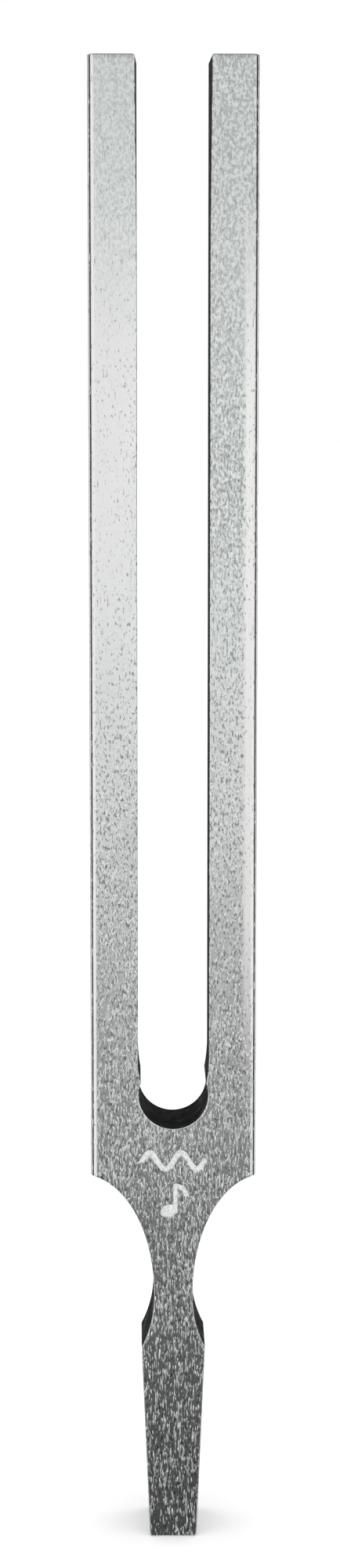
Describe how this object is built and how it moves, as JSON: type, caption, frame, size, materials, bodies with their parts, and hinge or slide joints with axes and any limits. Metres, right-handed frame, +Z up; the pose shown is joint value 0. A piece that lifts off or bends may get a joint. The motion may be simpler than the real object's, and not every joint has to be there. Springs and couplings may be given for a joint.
{
  "type": "tuning fork",
  "caption": "Flat-bar tuning fork with a drilled slot root, elliptical shoulders, a narrow neck and a tapered stem; its tines swing in mirror image on stiff sprung roots.",
  "frame": {"origin": "centre of the foot, the flat lower end of the stem", "axes": "+Z up the stem to the tips of the tines, X across the two tines, -Y out of the engraved front face"},
  "size_m": [0.0196, 0.0096, 0.1753],
  "materials": {
    "aluminium": "bare bar stock with fine lengthwise flecks, unpolished"
  },
  "bodies": {
    "stem": {"stem_and_yoke": "aluminium"},
    "left_tine": {"left_tine": "aluminium"},
    "right_tine": {"right_tine": "aluminium"}
  },
  "joints": [
    {"name": "left_tine_flex", "type": "hinge", "parent": "stem", "child": "left_tine", "pos_m": [-0.007, 0, 0.064], "axis": [0, 1, 0], "range_deg": [-0.5, 0.5], "stiffness_Nm_per_rad": 217},
    {"name": "right_tine_flex", "type": "hinge", "parent": "stem", "child": "right_tine", "pos_m": [0.007, 0, 0.064], "axis": [0, 1, 0], "range_deg": [-0.5, 0.5], "stiffness_Nm_per_rad": 217}
  ],
  "couplings": [
    {"joint": "right_tine_flex", "follows": "left_tine_flex", "ratio": -1}
  ]
}
